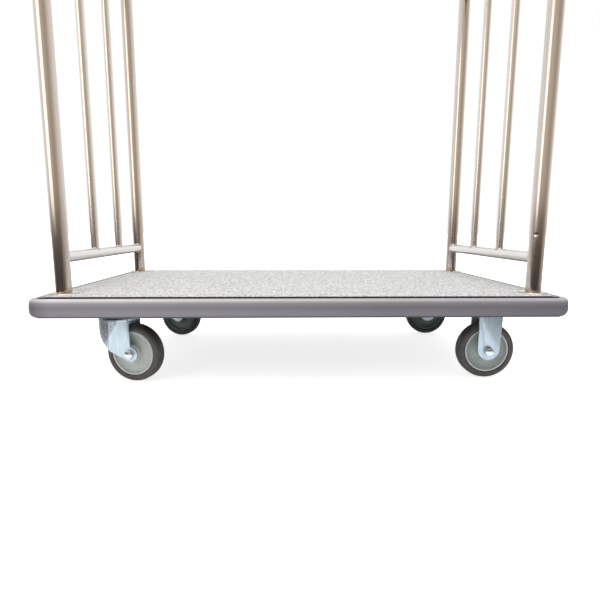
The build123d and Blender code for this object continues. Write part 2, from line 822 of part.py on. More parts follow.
# Swivel casters
swivel_casters = {
    "front": caster_plane(swivel_x, SIDES["front"], swivel_front_angle),
    "rear": caster_plane(swivel_x, SIDES["rear"], swivel_rear_angle),
}
for side, caster in swivel_casters.items():
    make_swivel_plate(f"swivel_plate_{side}", caster_plane(swivel_x, SIDES[side]))
    make_fork(f"swivel_fork_{side}", caster)
    make_balls(f"swivel_balls_{side}", caster)
    axle_nodes = [f"swivel_{piece}_{side}" for piece in ("axle_bolt", "axle_nut", "axle_spacer")]
    make_axles(axle_nodes, [caster], swivel_trail)
    make_wheel(f"swivel_wheel_{side}", caster, swivel_trail)
kingpin_points = [(swivel_x, y * caster_y) for y in (-1, 1)]
make_rings(
    "kingpin_washers",
    level_planes(kingpin_points, kingpin_head_z),
    retainer_radius,
    kingpin_diameter / 2 + axle_fit,
    retainer_thickness,
)
with BuildPart() as kingpins:
    with BuildSketch(*level_planes(kingpin_points, kingpin_head_z)):
        Circle(kingpin_diameter / 2)
    extrude(amount=frame_z - kingpin_head_z)
    with BuildSketch(*level_planes(kingpin_points, kingpin_head_z)):
        Circle(kingpin_head_diameter / 2)
    extrude(amount=-kingpin_head_height)
finish(kingpins, "kingpins")

# Rigid casters
rigid_casters = {side: caster_plane(rigid_x, sign) for side, sign in SIDES.items()}
make_axles(
    ["rigid_axle_bolts", "rigid_axle_nuts", "rigid_axle_spacers"], rigid_casters.values(), 0
)
for side, caster in rigid_casters.items():
    make_rigid_bracket(f"rigid_bracket_{side}", caster)
    make_wheel(f"rigid_wheel_{side}", caster, 0)
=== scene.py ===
import json
import math

import bpy
from mathutils import Matrix, Vector


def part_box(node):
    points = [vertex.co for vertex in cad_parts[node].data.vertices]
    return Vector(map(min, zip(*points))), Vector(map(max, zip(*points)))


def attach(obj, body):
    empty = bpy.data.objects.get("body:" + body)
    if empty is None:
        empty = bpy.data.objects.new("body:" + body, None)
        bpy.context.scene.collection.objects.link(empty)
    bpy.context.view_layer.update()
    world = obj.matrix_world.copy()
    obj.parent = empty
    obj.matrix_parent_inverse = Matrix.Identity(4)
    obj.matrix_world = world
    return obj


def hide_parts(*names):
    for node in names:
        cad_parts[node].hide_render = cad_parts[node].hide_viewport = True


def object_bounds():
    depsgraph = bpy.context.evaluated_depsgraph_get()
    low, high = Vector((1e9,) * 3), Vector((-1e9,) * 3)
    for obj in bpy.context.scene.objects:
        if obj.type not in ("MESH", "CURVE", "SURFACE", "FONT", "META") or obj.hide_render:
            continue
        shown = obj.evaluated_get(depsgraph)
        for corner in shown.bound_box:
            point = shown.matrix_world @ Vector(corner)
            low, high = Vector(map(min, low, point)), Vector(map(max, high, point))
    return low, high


# Hotel luggage cart on a white studio floor. Metres, +Z up, origin on the floor under the middle
# of the deck; +X runs along the deck towards the rigid casters.
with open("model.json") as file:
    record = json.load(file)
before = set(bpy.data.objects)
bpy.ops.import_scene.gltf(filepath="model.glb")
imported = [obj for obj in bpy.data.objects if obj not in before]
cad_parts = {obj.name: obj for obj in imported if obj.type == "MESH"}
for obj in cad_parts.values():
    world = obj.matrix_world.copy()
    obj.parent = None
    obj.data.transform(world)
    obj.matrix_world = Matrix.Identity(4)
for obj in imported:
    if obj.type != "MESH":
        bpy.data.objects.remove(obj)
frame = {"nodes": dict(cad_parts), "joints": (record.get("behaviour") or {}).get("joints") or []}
cad_low, cad_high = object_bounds()

# Studio --------------------------------------------------------------------------------------
# The cart stands on a white floor that runs into a white backdrop, under a large soft light from
# above. A cream softbox stands at the front left, and the room at the camera's side is dim and
# brown, which is what the round tubes mirror.
camera_place = (-0.0324, -1.2240, 0.3317)
camera_turn = math.radians(-1.661)
camera_down = math.radians(8.790)
camera_roll = math.radians(0.132)
camera_lens = 27.41
floor_near_radius = 0.8
floor_far_radius = 40.0


def linear(code):
    """Linear colour of an sRGB hex code such as "#C8C2BA"."""
    values = [int(code[i:i + 2], 16) / 255 for i in (1, 3, 5)]
    return tuple(v / 12.92 if v <= 0.04045 else ((v + 0.055) / 1.055) ** 2.4 for v in values) + (1,)


def add_node(tree, kind, links=None, stops=(), **settings):
    """A new node with its settings and, on a ramp, its colour stops. Its inputs are set to values
    or linked to outputs. A colour mix has its two colours at inputs 6 and 7, and output 2."""
    made = tree.nodes.new(kind)
    for name, value in settings.items():
        setattr(made, name, value)
    for name, value in (links or {}).items():
        if isinstance(value, bpy.types.NodeSocket):
            tree.links.new(value, made.inputs[name])
        else:
            made.inputs[name].default_value = value
    elements = made.color_ramp.elements if stops else ()
    while len(elements) < len(stops):
        elements.new(0.5)
    for element, (position, code) in zip(elements, stops):
        element.position = position
        element.color = linear(code)
    return made


def start_material(name, colour, metallic, roughness):
    """A material named for the real one, with its node tree and shader."""
    material = bpy.data.materials.new(name)
    material.use_nodes = True
    shader = material.node_tree.nodes["Principled BSDF"]
    shader.inputs["Base Color"].default_value = linear(colour)
    shader.inputs["Metallic"].default_value = metallic
    shader.inputs["Roughness"].default_value = roughness
    return material, material.node_tree, shader


def deselect():
    """Leaves edit mode with nothing selected."""
    if bpy.context.object and bpy.context.object.mode != "OBJECT":
        bpy.ops.object.mode_set(mode="OBJECT")
    bpy.ops.object.select_all(action="DESELECT")


camera = bpy.data.objects.new("camera", bpy.data.cameras.new("camera"))
bpy.context.scene.collection.objects.link(camera)
camera.data.lens = camera_lens
camera.data.sensor_width = 36
camera.data.clip_start = 0.05
camera.data.clip_end = 100
camera.matrix_world = (
    Matrix.Translation(camera_place)
    @ Matrix.Rotation(camera_turn, 4, "Z")
    @ Matrix.Rotation(math.pi / 2 - camera_down, 4, "X")
    @ Matrix.Rotation(camera_roll, 4, "Z")
)
bpy.context.scene.camera = camera
bpy.context.scene.view_settings.view_transform = "Standard"

floor_paint, floor_tree, floor_shader = start_material(
    "floor_white_matt_paint", "#F4F4F4", 0.0, 0.9
)
floor_mottle = add_node(
    floor_tree,
    "ShaderNodeTexNoise",
    {"Vector": add_node(floor_tree, "ShaderNodeTexCoord").outputs["Object"], "Scale": 2.0},
)
floor_tone = add_node(
    floor_tree,
    "ShaderNodeValToRGB",
    {"Fac": floor_mottle.outputs["Fac"]},
    stops=[(0.3, "#F3F3F3"), (0.7, "#F6F6F6")],
)
floor_tree.links.new(floor_tone.outputs["Color"], floor_shader.inputs["Base Color"])
floor_shader.inputs["Specular IOR Level"].default_value = 0.1
# The floor is lit from behind as well: it glows, so that it meets the backdrop unseen and the
# shadow on it stays faint. The light that it throws up on the cart is weak under the deck.
floor_distance = add_node(
    floor_tree,
    "ShaderNodeVectorMath",
    {0: add_node(floor_tree, "ShaderNodeTexCoord").outputs["Object"]},
    operation="LENGTH",
)
floor_glow = add_node(
    floor_tree,
    "ShaderNodeMapRange",
    {"Value": floor_distance.outputs["Value"], "From Min": 0.3, "From Max": 3.0,
     "To Min": 0.74, "To Max": 0.9},
    interpolation_type="SMOOTHSTEP",
)
floor_bounce = add_node(
    floor_tree,
    "ShaderNodeMapRange",
    {"Value": floor_distance.outputs["Value"], "From Min": 0.25, "From Max": 0.8,
     "To Min": 0.08, "To Max": 0.6},
)
floor_light = add_node(
    floor_tree,
    "ShaderNodeMix",
    {
        0: add_node(floor_tree, "ShaderNodeLightPath").outputs["Is Camera Ray"],
        2: floor_bounce.outputs[0],
        3: floor_glow.outputs[0],
    },
)
floor_shader.inputs["Emission Color"].default_value = linear("#FFFFFF")
floor_tree.links.new(floor_light.outputs[0], floor_shader.inputs["Emission Strength"])

deselect()
bpy.ops.mesh.primitive_circle_add(vertices=96, radius=floor_near_radius, fill_type="NGON")
floor_near = bpy.context.object
floor_near.name = "floor_near"
deselect()
bpy.ops.mesh.primitive_circle_add(vertices=96, radius=floor_near_radius, fill_type="NOTHING")
floor_far = bpy.context.object
floor_far.name = "floor_far"
bpy.ops.object.mode_set(mode="EDIT")
bpy.ops.mesh.select_all(action="SELECT")
bpy.ops.mesh.extrude_edges_move()
spread = floor_far_radius / floor_near_radius
bpy.ops.transform.resize(value=(spread, spread, 1), center_override=(0, 0, 0))
bpy.ops.mesh.select_all(action="SELECT")
bpy.ops.mesh.normals_make_consistent(inside=False)
bpy.ops.object.mode_set(mode="OBJECT")
floor_far.visible_glossy = False
floor_far.visible_diffuse = False
for floor in (floor_near, floor_far):
    floor.data.materials.append(floor_paint)

# The room, by compass direction: 0 and 1 are behind the cart, 0.25 is its left, 0.5 the camera's
# side and 0.75 its right. One ramp holds above the height of a table, the other below it.
world = bpy.data.worlds.new("studio")
bpy.context.scene.world = world
world.use_nodes = True
world_tree = world.node_tree
world_tree.nodes.clear()
direction = add_node(
    world_tree,
    "ShaderNodeSeparateXYZ",
    {"Vector": add_node(world_tree, "ShaderNodeTexCoord").outputs["Generated"]},
)
forward = add_node(
    world_tree, "ShaderNodeMath", {0: direction.outputs["Y"], 1: -1.0}, operation="MULTIPLY"
)
bearing = add_node(
    world_tree,
    "ShaderNodeMath",
    {0: direction.outputs["X"], 1: forward.outputs[0]},
    operation="ARCTAN2",
)
compass = add_node(
    world_tree,
    "ShaderNodeMapRange",
    {"Value": bearing.outputs[0], "From Min": -math.pi, "From Max": math.pi},
)
room_above = add_node(
    world_tree,
    "ShaderNodeValToRGB",
    {"Fac": compass.outputs[0]},
    stops=[
        (0.00, "#FFFFFF"),
        (0.27, "#FFFCF8"),
        (0.36, "#DED3C6"),
        (0.50, "#D2C5B6"),
        (0.58, "#BDAF9F"),
        (0.64, "#BFB2A4"),
        (0.70, "#D8CFC4"),
        (0.77, "#F6F1EA"),
        (0.86, "#FFFFFF"),
        (1.00, "#FFFFFF"),
    ],
)
room_below = add_node(
    world_tree,
    "ShaderNodeValToRGB",
    {"Fac": compass.outputs[0]},
    stops=[
        (0.00, "#FFFFFF"),
        (0.12, "#F4F0EC"),
        (0.18, "#C4BBB2"),
        (0.26, "#6C5F58"),
        (0.33, "#3A312D"),
        (0.53, "#3C332F"),
        (0.62, "#645950"),
        (0.68, "#A89E94"),
        (0.78, "#CAC3BA"),
        (0.92, "#F4F0EC"),
    ],
)
low_to_high = add_node(
    world_tree,
    "ShaderNodeMapRange",
    {"Value": direction.outputs["Z"], "From Min": 0.0, "From Max": 0.06},
    interpolation_type="SMOOTHSTEP",
)
walls = add_node(
    world_tree,
    "ShaderNodeMix",
    {
        "Factor": low_to_high.outputs[0],
        6: room_below.outputs["Color"],
        7: room_above.outputs["Color"],
    },
    data_type="RGBA",
)
overhead = add_node(
    world_tree,
    "ShaderNodeMapRange",
    {"Value": direction.outputs["Z"], "From Min": 0.55, "From Max": 0.75},
    interpolation_type="SMOOTHSTEP",
)
room = add_node(
    world_tree,
    "ShaderNodeMix",
    {"Factor": overhead.outputs[0], 6: walls.outputs[2], 7: linear("#FFFFFF")},
    data_type="RGBA",
)
# What lights matt surfaces is neutral, and dim near the floor; only metal mirrors the brown cast.
light_path = add_node(world_tree, "ShaderNodeLightPath")
room_grey = add_node(world_tree, "ShaderNodeRGBToBW", {"Color": room.outputs[2]})
low_dimming = add_node(
    world_tree,
    "ShaderNodeMapRange",
    {"Value": direction.outputs["Z"], "From Min": 0.0, "From Max": 0.2, "To Min": 0.3},
)
dim_grey = add_node(
    world_tree,
    "ShaderNodeMath",
    {0: room_grey.outputs[0], 1: low_dimming.outputs[0]},
    operation="MULTIPLY",
)
room_light = add_node(
    world_tree,
    "ShaderNodeMix",
    {
        "Factor": light_path.outputs["Is Glossy Ray"],
        6: dim_grey.outputs[0],
        7: room.outputs[2],
    },
    data_type="RGBA",
)
lit_room = add_node(world_tree, "ShaderNodeBackground", {"Color": room_light.outputs[2]})
backdrop = add_node(world_tree, "ShaderNodeBackground", {"Color": linear("#FFFFFF")})
world_mix = add_node(
    world_tree,
    "ShaderNodeMixShader",
    {
        0: light_path.outputs["Is Camera Ray"],
        1: lit_room.outputs[0],
        2: backdrop.outputs[0],
    },
)
add_node(world_tree, "ShaderNodeOutputWorld", {"Surface": world_mix.outputs[0]})


def add_softbox(name, place, target, width, height, power, colour):
    """A rectangular area light at a place, facing a target."""
    light = bpy.data.lights.new(name, "AREA")
    light.shape = "RECTANGLE"
    light.size, light.size_y = width, height
    light.energy = power
    light.color = linear(colour)[:3]
    softbox = bpy.data.objects.new(name, light)
    bpy.context.scene.collection.objects.link(softbox)
    softbox.location = place
    softbox.rotation_euler = (Vector(target) - Vector(place)).to_track_quat("-Z", "Y").to_euler()


add_softbox(
    "ceiling_light", place=(0, -0.6, 3.4), target=(0, 0, 0),
    width=3.6, height=3.0, power=95, colour="#FFFFFF",
)
add_softbox(
    "cream_softbox", place=(-1.33, -1.31, 1.06), target=(0, 0, 1.06),
    width=1.05, height=1.3, power=6.0, colour="#FFF2E8",
)

# Underframe ----------------------------------------------------------------------------------
# Welded rectangular steel tube: two side rails, two end rails that carry the posts, and four
# cross beams over the casters. Black powder coat, slightly orange-peeled.


def blotches(tree, pitch, detail=3.0, stretch=(1, 1, 1), seed=0.0):
    """A cloudy pattern in the piece, whose blotches are about one pitch across, in metres."""
    mapping = add_node(
        tree,
        "ShaderNodeMapping",
        {
            "Vector": add_node(tree, "ShaderNodeTexCoord").outputs["Object"],
            "Location": (seed, seed, seed),
            "Scale": tuple(1 / (pitch * s) for s in stretch),
        },
    )
    noise = add_node(
        tree,
        "ShaderNodeTexNoise",
        {"Vector": mapping.outputs[0], "Scale": 1.0, "Detail": detail},
    )
    return noise.outputs["Fac"]


def finish(tree, shader, cloud=None, rough=None, relief=None):
    """Finishes a surface: cloud is a pattern and its colours, rough a pattern and the roughness
    where it is low and where it is high, and relief a pattern and its depth in metres."""
    if cloud:
        tone = add_node(tree, "ShaderNodeValToRGB", {"Fac": cloud[0]}, stops=cloud[1])
        tree.links.new(tone.outputs["Color"], shader.inputs["Base Color"])
    if rough:
        pattern, low, high = rough
        spread = add_node(
            tree,
            "ShaderNodeMapRange",
            {"Value": pattern, "From Min": 0.3, "From Max": 0.7, "To Min": low, "To Max": high},
        )
        tree.links.new(spread.outputs[0], shader.inputs["Roughness"])
    if relief:
        bump = add_node(
            tree, "ShaderNodeBump", {"Height": relief[0], "Distance": relief[1], "Strength": 1.0}
        )
        tree.links.new(bump.outputs[0], shader.inputs["Normal"])


def paint_nodes(material, *names):
    """Gives CAD nodes that keep their shape this material."""
    for name in names:
        for material_slot in frame["nodes"][name].material_slots:
            material_slot.material = material


# Powder coat: an even satin skin with orange peel a few millimetres across.
powder_coat, tree, shader = start_material("black_powder_coated_steel", "#1B1B1D", 0.0, 0.45)
peel = blotches(tree, 0.0025, 2.0)
finish(
    tree,
    shader,
    cloud=(blotches(tree, 0.05), [(0.3, "#161618"), (0.7, "#242427")]),
    rough=(peel, 0.38, 0.55),
    relief=(peel, 0.0001),
)
paint_nodes(powder_coat, "side_rails", "end_rails", "caster_beams")

# Deck panel ----------------------------------------------------------------------------------
# A 13 mm birch plywood board, screwed down to the rails through its top. Both faces are covered
# with dark brown phenolic film, and the pale and brown plies show at the sawn edge.
ply_thickness = 0.0013
glue_line = 0.2 * ply_thickness


def cart_axes(tree):
    """The X, Y and Z of a surface point in the cart, in metres."""
    point = add_node(tree, "ShaderNodeTexCoord").outputs["Object"]
    return add_node(tree, "ShaderNodeSeparateXYZ", {"Vector": point}).outputs


birch, tree, shader = start_material("film_faced_birch_plywood", "#2E2622", 0.0, 0.45)
ply_stripe = add_node(
    tree,
    "ShaderNodeMath",
    {0: cart_axes(tree)["Z"], 1: 2 * ply_thickness},
    operation="PINGPONG",
)
brown_ply = add_node(
    tree,
    "ShaderNodeMapRange",
    {
        "Value": ply_stripe.outputs[0],
        "From Min": ply_thickness,
        "From Max": ply_thickness + glue_line,
    },
)
sawn_tone = add_node(
    tree,
    "ShaderNodeValToRGB",
    {"Fac": blotches(tree, 0.002, 5.0, (6, 6, 1))},
    stops=[(0.3, "#B9925F"), (0.7, "#D4B685")],
)
ply_tone = add_node(
    tree,
    "ShaderNodeMix",
    {"Factor": brown_ply.outputs[0], 6: sawn_tone.outputs["Color"], 7: linear("#8A6540")},
    data_type="RGBA",
)
film_weave = blotches(tree, 0.0015, 2.0)
film_tone = add_node(
    tree,
    "ShaderNodeValToRGB",
    {"Fac": film_weave},
    stops=[(0.3, "#261F1C"), (0.7, "#372D28")],
)
facing = add_node(
    tree,
    "ShaderNodeSeparateXYZ",
    {"Vector": add_node(tree, "ShaderNodeNewGeometry").outputs["Normal"]},
)
upright = add_node(tree, "ShaderNodeMath", {0: facing.outputs["Z"]}, operation="ABSOLUTE")
on_face = add_node(
    tree,
    "ShaderNodeMapRange",
    {"Value": upright.outputs[0], "From Min": 0.3, "From Max": 0.7},
)
board_tone = add_node(
    tree,
    "ShaderNodeMix",
    {"Factor": on_face.outputs[0], 6: ply_tone.outputs[2], 7: film_tone.outputs["Color"]},
    data_type="RGBA",
)
tree.links.new(board_tone.outputs[2], shader.inputs["Base Color"])
finish(tree, shader, rough=(film_weave, 0.38, 0.52), relief=(film_weave, 0.0001))
paint_nodes(birch, "deck_panel")

# Band ----------------------------------------------------------------------------------------
# A flat aluminium band screwed round the plywood's edge; the bumper hooks over it. Mill finish,
# with fine lines along its rolling direction.
mill_aluminium, tree, shader = start_material("mill_finish_aluminium", "#B9BBBD", 1.0, 0.38)
rolling = blotches(tree, 0.0006, 3.0, (60, 60, 1))
finish(
    tree,
    shader,
    cloud=(rolling, [(0.3, "#A9ABAE"), (0.7, "#C6C8CA")]),
    rough=(rolling, 0.3, 0.48),
    relief=(rolling, 0.00005),
)
paint_nodes(mill_aluminium, "bumper_channel")

# Fasteners -----------------------------------------------------------------------------------
# Zinc-plated steel screws, plugs, nuts and spacer tubes. These are all hidden, and keep their
# plain shape; plating makes them pale blue-grey and slightly cloudy.
plated_steel, tree, shader = start_material("zinc_plated_steel", "#CBD4DB", 1.0, 0.24)
plating_cloud = blotches(tree, 0.004, 4.0)
finish(
    tree,
    shader,
    cloud=(plating_cloud, [(0.3, "#B9C5CD"), (0.7, "#DDE4EA")]),
    rough=(plating_cloud, 0.16, 0.32),
    relief=(blotches(tree, 0.0006), 0.00003),
)
paint_nodes(plated_steel, "bumper_screws", "deck_screws", "post_inserts", "caster_nuts",
            "rigid_axle_spacers", "swivel_axle_spacer_front", "swivel_axle_spacer_rear")

# Carpet --------------------------------------------------------------------------------------
# Light grey loop-pile carpet, 6.5 mm thick, glued to the plywood. It is cut short of the bumper
# all round, cut out for the posts and pressed down under their flanges.
carpet_low, carpet_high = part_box("carpet")
carpet_length = carpet_high.x - carpet_low.x
carpet_width = carpet_high.y - carpet_low.y
carpet_corner = 0.012
carpet_cell = 0.0034
loop_pitch = 0.0034
pile_relief = 0.0008
post_x, post_y = 0.503, 0.253
post_cut_radius = 0.017
press_radius = 0.0305
press_depth = 0.0016
backing_thickness = 0.002
same_level = 0.0001
side_fall, side_run, side_tape = 0.0018, 0.024, 0.0070
end_fall, end_run, end_tape = 0.0036, 0.030, 0.0035

deselect()
bpy.ops.mesh.primitive_grid_add(
    x_subdivisions=round(carpet_length / carpet_cell),
    y_subdivisions=round(carpet_width / carpet_cell),
    size=1,
    location=(0, 0, carpet_high.z),
)
carpet = bpy.context.object
carpet.name = "carpet_pile"
carpet.scale = (carpet_length, carpet_width, 1)
bpy.ops.object.transform_apply(location=True, rotation=True, scale=True)


def round_corner(x, y, half_x, half_y, radius):
    """Moves a point of a rectangle so that the corners of the rectangle come out round."""
    u = max(0.0, (abs(x) - half_x + radius) / radius)
    v = max(0.0, (abs(y) - half_y + radius) / radius)
    if u == 0 or v == 0:
        return x, y
    corner_x = half_x - radius + radius * u * math.sqrt(1 - v * v / 2)
    corner_y = half_y - radius + radius * v * math.sqrt(1 - u * u / 2)
    return math.copysign(corner_x, x), math.copysign(corner_y, y)


post_places = [(sx * post_x, sy * post_y) for sx in (-1, 1) for sy in (-1, 1)]


def post_distance(point):
    """Distance from a point to the nearest post's axis, and that post's place."""
    return min((math.dist((point.x, point.y), place), place) for place in post_places)


bpy.ops.object.mode_set(mode="EDIT")
bpy.ops.mesh.select_all(action="DESELECT")
bpy.ops.object.mode_set(mode="OBJECT")
for face in carpet.data.polygons:
    face.select = post_distance(face.center)[0] < post_cut_radius
bpy.ops.object.mode_set(mode="EDIT")
bpy.ops.mesh.delete(type="FACE")
bpy.ops.mesh.select_all(action="DESELECT")
bpy.ops.mesh.select_non_manifold()
bpy.ops.object.mode_set(mode="OBJECT")
for vertex in carpet.data.vertices:
    distance, place = post_distance(vertex.co)
    if vertex.select and distance < 2 * post_cut_radius:
        pull = post_cut_radius / distance
        vertex.co.x = place[0] + (vertex.co.x - place[0]) * pull
        vertex.co.y = place[1] + (vertex.co.y - place[1]) * pull
for vertex in carpet.data.vertices:
    vertex.co.x, vertex.co.y = round_corner(
        vertex.co.x, vertex.co.y, carpet_length / 2, carpet_width / 2, carpet_corner
    )
bpy.ops.object.mode_set(mode="EDIT")
bpy.ops.mesh.extrude_edges_move(
    TRANSFORM_OT_translate={"value": (0, 0, carpet_low.z - carpet_high.z)}
)
bpy.ops.mesh.fill(use_beauty=False)
bpy.ops.mesh.select_all(action="SELECT")
bpy.ops.mesh.normals_make_consistent(inside=False)
bpy.ops.object.mode_set(mode="OBJECT")

loops = bpy.data.textures.new("carpet_loops", "CLOUDS")
loops.noise_scale = loop_pitch * 0.8
loops.noise_depth = 1
pile = carpet.modifiers.new("pile", "DISPLACE")
pile.texture = loops
pile.texture_coords = "OBJECT"
pile.direction = "Z"
pile.strength = pile_relief
pile.mid_level = 1.0
pile_group = carpet.vertex_groups.new(name="pile_top")
pile_group.add(
    [v.index for v in carpet.data.vertices if v.co.z > carpet_high.z - same_level], 1.0, "REPLACE"
)
pile.vertex_group = "pile_top"
bpy.ops.object.modifier_apply(modifier="pile")


def edge_distances(point):
    """How far a point of the carpet is from the nearer end and from the nearer long side."""
    return carpet_length / 2 - abs(point.x), carpet_width / 2 - abs(point.y)


def drawn_down(distance, fall, run, tape):
    """How far the pile is drawn down at a distance from an edge: fully on the tape that binds
    it, and less and less up to the end of the run."""
    return fall * min(1.0, max(0.0, 1 - (distance - tape) / (run - tape)))


for vertex in carpet.data.vertices:
    if vertex.co.z > carpet_low.z + backing_thickness:
        from_end, from_side = edge_distances(vertex.co)
        level = carpet_high.z - max(
            drawn_down(from_side, side_fall, side_run, side_tape),
            drawn_down(from_end, end_fall, end_run, end_tape),
        )
        if post_distance(vertex.co)[0] < press_radius:
            level = carpet_high.z - press_depth
        taped = min(from_side - side_tape, from_end - end_tape) < carpet_cell / 2
        vertex.co.z = level if taped else min(vertex.co.z, level)
bpy.ops.object.shade_smooth()

# Solution-dyed polypropylene loops: light grey flecked with darker and near-white yarn, each loop
# a little dome with painted shade in the gap round it.
loop_pile, tree, shader = start_material("polypropylene_loop_pile", "#C9C7C2", 0.0, 0.95)
loop_cells = add_node(
    tree,
    "ShaderNodeTexVoronoi",
    {
        "Vector": add_node(tree, "ShaderNodeTexCoord").outputs["Object"],
        "Scale": 1 / loop_pitch,
        "Randomness": 0.75,
    },
)
yarn_pick = add_node(tree, "ShaderNodeSeparateColor", {"Color": loop_cells.outputs["Color"]})
yarn_tone = add_node(
    tree,
    "ShaderNodeValToRGB",
    {"Fac": yarn_pick.outputs[0]},
    stops=[
        (0.0, "#8F8F8E"), (0.18, "#AEAEAD"), (0.4, "#CACAC9"), (0.75, "#D9D9D8"),
        (1.0, "#ECECEB"),
    ],
)
dome = add_node(
    tree,
    "ShaderNodeMapRange",
    {
        "Value": loop_cells.outputs["Distance"],
        "From Min": 0.25,
        "From Max": 0.75,
        "To Min": 1.0,
        "To Max": 0.0,
    },
)
gap_shade = add_node(
    tree, "ShaderNodeMapRange", {"Value": dome.outputs[0], "To Min": 0.35, "To Max": 0.0}
)
shaded_yarn = add_node(
    tree,
    "ShaderNodeMix",
    {"Factor": gap_shade.outputs[0], 6: yarn_tone.outputs["Color"], 7: linear("#4C4A48")},
    data_type="RGBA",
)
tree.links.new(shaded_yarn.outputs[2], shader.inputs["Base Color"])
shader.inputs["Sheen Weight"].default_value = 0.25
shader.inputs["Sheen Roughness"].default_value = 0.5
finish(tree, shader, relief=(dome.outputs[0], 0.0012))
# A black woven band covers the cut edge and a strip of the top along it. It is partly the
# carpet's dark cut edge and partly painted shade for the gap between the carpet and the bumper.
dark_edge_and_gap_shade, tree, shader = start_material("black_cut_edge_and_painted_gap_shade", "#0E0D0D", 0.0, 0.8)
tape_yarn = blotches(tree, 0.003, 3.0)
finish(
    tree,
    shader,
    cloud=(tape_yarn, [(0.35, "#0A0A0A"), (0.7, "#1E1C1B")]),
    relief=(tape_yarn, 0.0005),
)
carpet.data.materials.append(loop_pile)
carpet.data.materials.append(dark_edge_and_gap_shade)
# The faces along the cut edge take the black band, which is partly painted shade.
for face in carpet.data.polygons:
    from_end, from_side = edge_distances(face.center)
    taped = min(from_end - end_tape, from_side - side_tape) < 0
    if taped and face.center.z > carpet_low.z + same_level:
        face.material_index = 1
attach(carpet, "root")
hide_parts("carpet")

# Bumper --------------------------------------------------------------------------------------
# Soft grey vinyl strip with a crowned face, extruded in one length, hooked over the band by its
# two lips and wrapped round the four corners.
deck_length = cad_high.x - cad_low.x
deck_width = cad_high.y - cad_low.y
bumper_low, bumper_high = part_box("bumper")
bumper_height = bumper_high.z - bumper_low.z
bumper_corner = 0.028
corner_steps = 20
# The section as (distance in from the face, height), anticlockwise from the end of the top lip.
lip_depth, lip_thickness, lip_fall = 0.0160, 0.0030, 0.0007
back_depth, foot_depth = 0.0130, 0.0148
crest = bumper_height - 0.0018
crest_depth, crest_drop = 0.0080, 0.0090
face_depth, face_top = 0.0012, crest - crest_drop
foot_radius = 0.0035
bumper_section = [
    (lip_depth, crest - lip_fall), (back_depth, crest - 0.6 * lip_fall),
    (0.0100, crest - 0.1 * lip_fall), (crest_depth, crest),
]
for step in range(1, 9):
    turn = math.radians(90 * step / 8)
    bumper_section.append((
        crest_depth - (crest_depth - face_depth) * math.sin(turn),
        crest - crest_drop * (1 - math.cos(turn)),
    ))
for step in range(1, 9):
    rise = face_top - step * (face_top - foot_radius) / 8
    crown = 1 - (2 * (rise - foot_radius) / (face_top - foot_radius) - 1) ** 2
    bumper_section.append((face_depth * (1 - max(0.0, crown)), rise))
for step in range(1, 7):
    turn = math.radians(90 * step / 6)
    bumper_section.append(
        (face_depth + foot_radius * (1 - math.cos(turn)), foot_radius * (1 - math.sin(turn)))
    )
bumper_section += [
    (foot_depth, 0.0), (foot_depth, lip_thickness), (back_depth, lip_thickness),
    (back_depth, bumper_height - lip_thickness), (lip_depth, bumper_height - lip_thickness),
]

deselect()
bpy.ops.mesh.primitive_circle_add(vertices=len(bumper_section), radius=0.01)
bumper = bpy.context.object
bumper.name = "bumper_strip"
half_length, half_width = deck_length / 2, deck_width / 2
for vertex, (depth, rise) in zip(bumper.data.vertices, bumper_section):
    vertex.co = (-half_length + bumper_corner, -half_width + depth, bumper_low.z + rise)
bpy.ops.object.mode_set(mode="EDIT")
bpy.ops.mesh.select_all(action="SELECT")
straight_x = deck_length - 2 * bumper_corner
straight_y = deck_width - 2 * bumper_corner
for run, corner in [
    ((straight_x, 0), (1, -1)),
    ((0, straight_y), (1, 1)),
    ((-straight_x, 0), (-1, 1)),
    ((0, -straight_y), (-1, -1)),
]:
    bpy.ops.mesh.extrude_edges_move(TRANSFORM_OT_translate={"value": (*run, 0)})
    bpy.ops.mesh.spin(
        steps=corner_steps,
        angle=math.radians(90),
        center=(
            corner[0] * (half_length - bumper_corner),
            corner[1] * (half_width - bumper_corner),
            bumper_low.z,
        ),
        axis=(0, 0, -1),
    )
bpy.ops.mesh.select_all(action="SELECT")
bpy.ops.mesh.remove_doubles(threshold=0.00001)
bpy.ops.mesh.normals_make_consistent(inside=False)
bpy.ops.object.mode_set(mode="OBJECT")
# The soft strip curls in under itself where it is pulled round a corner.
corner_foot_radius = 0.0105
curl_reach, curl_ease = 0.0085, 0.7
for vertex in bumper.data.vertices:
    across = Vector((
        max(0.0, abs(vertex.co.x) - half_length + bumper_corner),
        max(0.0, abs(vertex.co.y) - half_width + bumper_corner),
    ))
    rise = vertex.co.z - bumper_low.z
    if across.x == 0 or across.y == 0 or across.length < bumper_corner - curl_reach:
        continue
    pull = math.sin(2 * math.atan2(across.y, across.x)) ** curl_ease
    curl = foot_radius + (corner_foot_radius - foot_radius) * pull
    if rise < curl:
        depth = face_depth + curl - math.sqrt(curl ** 2 - (curl - rise) ** 2)
        shrink = min(1.0, (bumper_corner - depth) / across.length)
        vertex.co.x -= math.copysign(across.x * (1 - shrink), vertex.co.x)
        vertex.co.y -= math.copysign(across.y * (1 - shrink), vertex.co.y)
bpy.ops.object.shade_smooth_by_angle(angle=math.radians(35))
